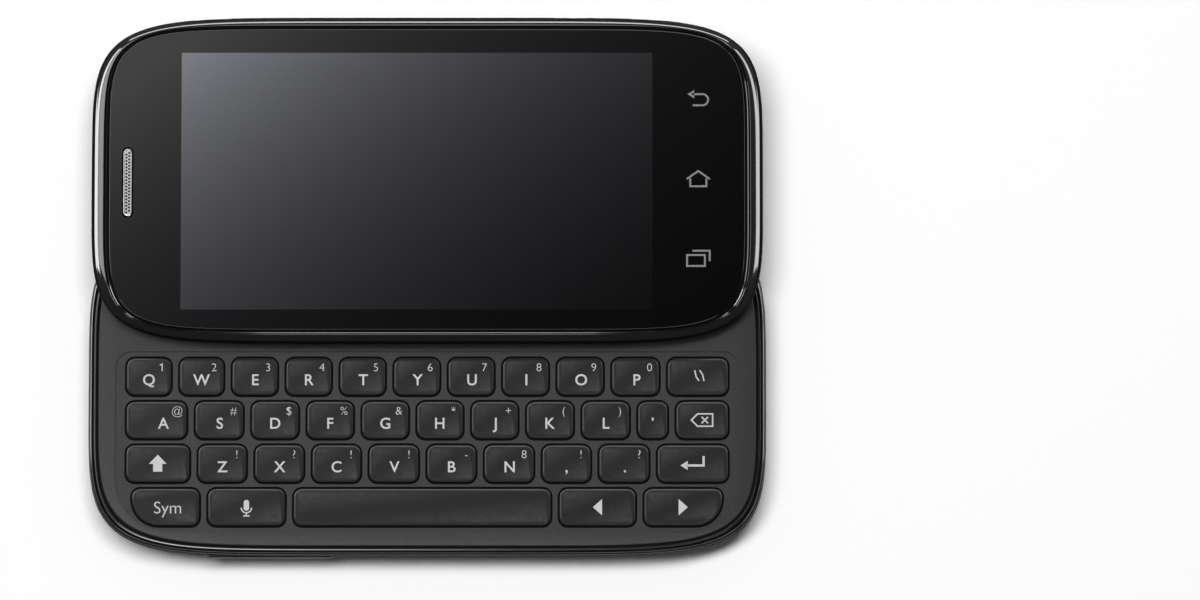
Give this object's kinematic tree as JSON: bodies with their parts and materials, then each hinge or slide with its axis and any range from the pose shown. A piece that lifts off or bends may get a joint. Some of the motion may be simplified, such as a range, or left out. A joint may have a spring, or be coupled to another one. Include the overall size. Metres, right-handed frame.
{
  "type": "slider phone",
  "caption": "Slim phone whose touch display half slides sideways off a keyboard half with separate letter keys.",
  "frame": {"origin": "centre of the keyboard half's flat rear face, at the surface that the phone lies on", "axes": "+X along the length away from the earpiece, +Y the way the display half slides open, +Z out of the keys and the screen"},
  "size_m": [0.126, 0.1005, 0.0135],
  "materials": {
    "cover": "soft matte graphite paint with a fine speckle",
    "gloss_rim": "polished black, worn a little brighter along its edge",
    "faceplate": "satin black with a very fine grain",
    "key": "satin dark grey moulded keys with pale printed legends",
    "mat": "soft grey silicone rubber",
    "board": "green solder mask over copper tracks",
    "battery": "dark wrapped cell with a faint satin sheen",
    "camera_body": "black moulded housing",
    "bright_ring": "bright turned metal with fine circular lines",
    "camera_glass": "dark coated glass",
    "socket": "black moulded barrel",
    "steel": "brushed stainless steel",
    "side_key": "gloss black with softened edges",
    "back_shell": "matte graphite with a fine speckle",
    "screen_glass": "black-backed glossy glass",
    "panel": "switched-off display, dark grey and glossy",
    "grille": "bright perforated metal"
  },
  "bodies": {
    "base": {"rear_cover": "cover", "base_frame": "gloss_rim", "keyboard_faceplate": "faceplate", "keypad_mat": "mat", "main_board": "board", "battery": "battery", "camera_module": "camera_body", "camera_ring": "bright_ring", "camera_window": "camera_glass", "loudspeaker": "camera_body", "headphone_socket": "socket", "usb_socket": "steel", "slide_carriage": "steel", "base_screws": "steel"},
    "display": {"display_back": "back_shell", "display_bezel": "gloss_rim", "front_glass": "screen_glass", "display_panel": "panel", "earpiece_grille": "grille", "guide_rods": "steel"},
    "power_key": {"power_key": "side_key"},
    "camera_key": {"camera_key": "side_key"},
    "volume_rocker": {"volume_rocker": "side_key"},
    "key_q": {"key_q": "key"},
    "key_w": {"key_w": "key"},
    "key_e": {"key_e": "key"},
    "key_r": {"key_r": "key"},
    "key_t": {"key_t": "key"},
    "key_y": {"key_y": "key"},
    "key_u": {"key_u": "key"},
    "key_i": {"key_i": "key"},
    "key_o": {"key_o": "key"},
    "key_p": {"key_p": "key"},
    "key_backslash": {"key_backslash": "key"},
    "key_a": {"key_a": "key"},
    "key_s": {"key_s": "key"},
    "key_d": {"key_d": "key"},
    "key_f": {"key_f": "key"},
    "key_g": {"key_g": "key"},
    "key_h": {"key_h": "key"},
    "key_j": {"key_j": "key"},
    "key_k": {"key_k": "key"},
    "key_l": {"key_l": "key"},
    "key_quote": {"key_quote": "key"},
    "key_backspace": {"key_backspace": "key"},
    "key_shift": {"key_shift": "key"},
    "key_z": {"key_z": "key"},
    "key_x": {"key_x": "key"},
    "key_c": {"key_c": "key"},
    "key_v": {"key_v": "key"},
    "key_b": {"key_b": "key"},
    "key_n": {"key_n": "key"},
    "key_comma": {"key_comma": "key"},
    "key_period": {"key_period": "key"},
    "key_enter": {"key_enter": "key"},
    "key_symbol": {"key_symbol": "key"},
    "key_voice": {"key_voice": "key"},
    "key_space": {"key_space": "key"},
    "key_left": {"key_left": "key"},
    "key_right": {"key_right": "key"}
  },
  "joints": [
    {"name": "display_slide", "type": "slide", "parent": "base", "child": "display", "axis": [0, -1, 0], "range_m": [0, 0.0386]},
    {"name": "power_key_press", "type": "slide", "parent": "base", "child": "power_key", "axis": [0, -1, 0], "range_m": [0, 0.0003], "stiffness_N_per_m": 2500, "springref_m": -0.0003},
    {"name": "camera_key_press", "type": "slide", "parent": "base", "child": "camera_key", "axis": [0, -1, 0], "range_m": [0, 0.0003], "stiffness_N_per_m": 2500, "springref_m": -0.0003},
    {"name": "volume_rocker_tilt", "type": "hinge", "parent": "base", "child": "volume_rocker", "pos_m": [-0.0293, -0.0271, 0.00624], "axis": [0, 0, 1], "range_deg": [-1, 1], "stiffness_Nm_per_rad": 0.4},
    {"name": "key_q_press", "type": "slide", "parent": "base", "child": "key_q", "axis": [0, 0, -1], "range_m": [0, 0.00028], "stiffness_N_per_m": 2000, "springref_m": -0.0003},
    {"name": "key_w_press", "type": "slide", "parent": "base", "child": "key_w", "axis": [0, 0, -1], "range_m": [0, 0.00028], "stiffness_N_per_m": 2000, "springref_m": -0.0003},
    {"name": "key_e_press", "type": "slide", "parent": "base", "child": "key_e", "axis": [0, 0, -1], "range_m": [0, 0.00028], "stiffness_N_per_m": 2000, "springref_m": -0.0003},
    {"name": "key_r_press", "type": "slide", "parent": "base", "child": "key_r", "axis": [0, 0, -1], "range_m": [0, 0.00028], "stiffness_N_per_m": 2000, "springref_m": -0.0003},
    {"name": "key_t_press", "type": "slide", "parent": "base", "child": "key_t", "axis": [0, 0, -1], "range_m": [0, 0.00028], "stiffness_N_per_m": 2000, "springref_m": -0.0003},
    {"name": "key_y_press", "type": "slide", "parent": "base", "child": "key_y", "axis": [0, 0, -1], "range_m": [0, 0.00028], "stiffness_N_per_m": 2000, "springref_m": -0.0003},
    {"name": "key_u_press", "type": "slide", "parent": "base", "child": "key_u", "axis": [0, 0, -1], "range_m": [0, 0.00028], "stiffness_N_per_m": 2000, "springref_m": -0.0003},
    {"name": "key_i_press", "type": "slide", "parent": "base", "child": "key_i", "axis": [0, 0, -1], "range_m": [0, 0.00028], "stiffness_N_per_m": 2000, "springref_m": -0.0003},
    {"name": "key_o_press", "type": "slide", "parent": "base", "child": "key_o", "axis": [0, 0, -1], "range_m": [0, 0.00028], "stiffness_N_per_m": 2000, "springref_m": -0.0003},
    {"name": "key_p_press", "type": "slide", "parent": "base", "child": "key_p", "axis": [0, 0, -1], "range_m": [0, 0.00028], "stiffness_N_per_m": 2000, "springref_m": -0.0003},
    {"name": "key_backslash_press", "type": "slide", "parent": "base", "child": "key_backslash", "axis": [0, 0, -1], "range_m": [0, 0.00028], "stiffness_N_per_m": 2000, "springref_m": -0.0003},
    {"name": "key_a_press", "type": "slide", "parent": "base", "child": "key_a", "axis": [0, 0, -1], "range_m": [0, 0.00028], "stiffness_N_per_m": 2000, "springref_m": -0.0003},
    {"name": "key_s_press", "type": "slide", "parent": "base", "child": "key_s", "axis": [0, 0, -1], "range_m": [0, 0.00028], "stiffness_N_per_m": 2000, "springref_m": -0.0003},
    {"name": "key_d_press", "type": "slide", "parent": "base", "child": "key_d", "axis": [0, 0, -1], "range_m": [0, 0.00028], "stiffness_N_per_m": 2000, "springref_m": -0.0003},
    {"name": "key_f_press", "type": "slide", "parent": "base", "child": "key_f", "axis": [0, 0, -1], "range_m": [0, 0.00028], "stiffness_N_per_m": 2000, "springref_m": -0.0003},
    {"name": "key_g_press", "type": "slide", "parent": "base", "child": "key_g", "axis": [0, 0, -1], "range_m": [0, 0.00028], "stiffness_N_per_m": 2000, "springref_m": -0.0003},
    {"name": "key_h_press", "type": "slide", "parent": "base", "child": "key_h", "axis": [0, 0, -1], "range_m": [0, 0.00028], "stiffness_N_per_m": 2000, "springref_m": -0.0003},
    {"name": "key_j_press", "type": "slide", "parent": "base", "child": "key_j", "axis": [0, 0, -1], "range_m": [0, 0.00028], "stiffness_N_per_m": 2000, "springref_m": -0.0003},
    {"name": "key_k_press", "type": "slide", "parent": "base", "child": "key_k", "axis": [0, 0, -1], "range_m": [0, 0.00028], "stiffness_N_per_m": 2000, "springref_m": -0.0003},
    {"name": "key_l_press", "type": "slide", "parent": "base", "child": "key_l", "axis": [0, 0, -1], "range_m": [0, 0.00028], "stiffness_N_per_m": 2000, "springref_m": -0.0003},
    {"name": "key_quote_press", "type": "slide", "parent": "base", "child": "key_quote", "axis": [0, 0, -1], "range_m": [0, 0.00028], "stiffness_N_per_m": 2000, "springref_m": -0.0003},
    {"name": "key_backspace_press", "type": "slide", "parent": "base", "child": "key_backspace", "axis": [0, 0, -1], "range_m": [0, 0.00028], "stiffness_N_per_m": 2000, "springref_m": -0.0003},
    {"name": "key_shift_press", "type": "slide", "parent": "base", "child": "key_shift", "axis": [0, 0, -1], "range_m": [0, 0.00028], "stiffness_N_per_m": 2000, "springref_m": -0.0003},
    {"name": "key_z_press", "type": "slide", "parent": "base", "child": "key_z", "axis": [0, 0, -1], "range_m": [0, 0.00028], "stiffness_N_per_m": 2000, "springref_m": -0.0003},
    {"name": "key_x_press", "type": "slide", "parent": "base", "child": "key_x", "axis": [0, 0, -1], "range_m": [0, 0.00028], "stiffness_N_per_m": 2000, "springref_m": -0.0003},
    {"name": "key_c_press", "type": "slide", "parent": "base", "child": "key_c", "axis": [0, 0, -1], "range_m": [0, 0.00028], "stiffness_N_per_m": 2000, "springref_m": -0.0003},
    {"name": "key_v_press", "type": "slide", "parent": "base", "child": "key_v", "axis": [0, 0, -1], "range_m": [0, 0.00028], "stiffness_N_per_m": 2000, "springref_m": -0.0003},
    {"name": "key_b_press", "type": "slide", "parent": "base", "child": "key_b", "axis": [0, 0, -1], "range_m": [0, 0.00028], "stiffness_N_per_m": 2000, "springref_m": -0.0003},
    {"name": "key_n_press", "type": "slide", "parent": "base", "child": "key_n", "axis": [0, 0, -1], "range_m": [0, 0.00028], "stiffness_N_per_m": 2000, "springref_m": -0.0003},
    {"name": "key_comma_press", "type": "slide", "parent": "base", "child": "key_comma", "axis": [0, 0, -1], "range_m": [0, 0.00028], "stiffness_N_per_m": 2000, "springref_m": -0.0003},
    {"name": "key_period_press", "type": "slide", "parent": "base", "child": "key_period", "axis": [0, 0, -1], "range_m": [0, 0.00028], "stiffness_N_per_m": 2000, "springref_m": -0.0003},
    {"name": "key_enter_press", "type": "slide", "parent": "base", "child": "key_enter", "axis": [0, 0, -1], "range_m": [0, 0.00028], "stiffness_N_per_m": 2000, "springref_m": -0.0003},
    {"name": "key_symbol_press", "type": "slide", "parent": "base", "child": "key_symbol", "axis": [0, 0, -1], "range_m": [0, 0.00028], "stiffness_N_per_m": 2000, "springref_m": -0.0003},
    {"name": "key_voice_press", "type": "slide", "parent": "base", "child": "key_voice", "axis": [0, 0, -1], "range_m": [0, 0.00028], "stiffness_N_per_m": 2000, "springref_m": -0.0003},
    {"name": "key_space_press", "type": "slide", "parent": "base", "child": "key_space", "axis": [0, 0, -1], "range_m": [0, 0.00028], "stiffness_N_per_m": 2000, "springref_m": -0.0003},
    {"name": "key_left_press", "type": "slide", "parent": "base", "child": "key_left", "axis": [0, 0, -1], "range_m": [0, 0.00028], "stiffness_N_per_m": 2000, "springref_m": -0.0003},
    {"name": "key_right_press", "type": "slide", "parent": "base", "child": "key_right", "axis": [0, 0, -1], "range_m": [0, 0.00028], "stiffness_N_per_m": 2000, "springref_m": -0.0003}
  ]
}
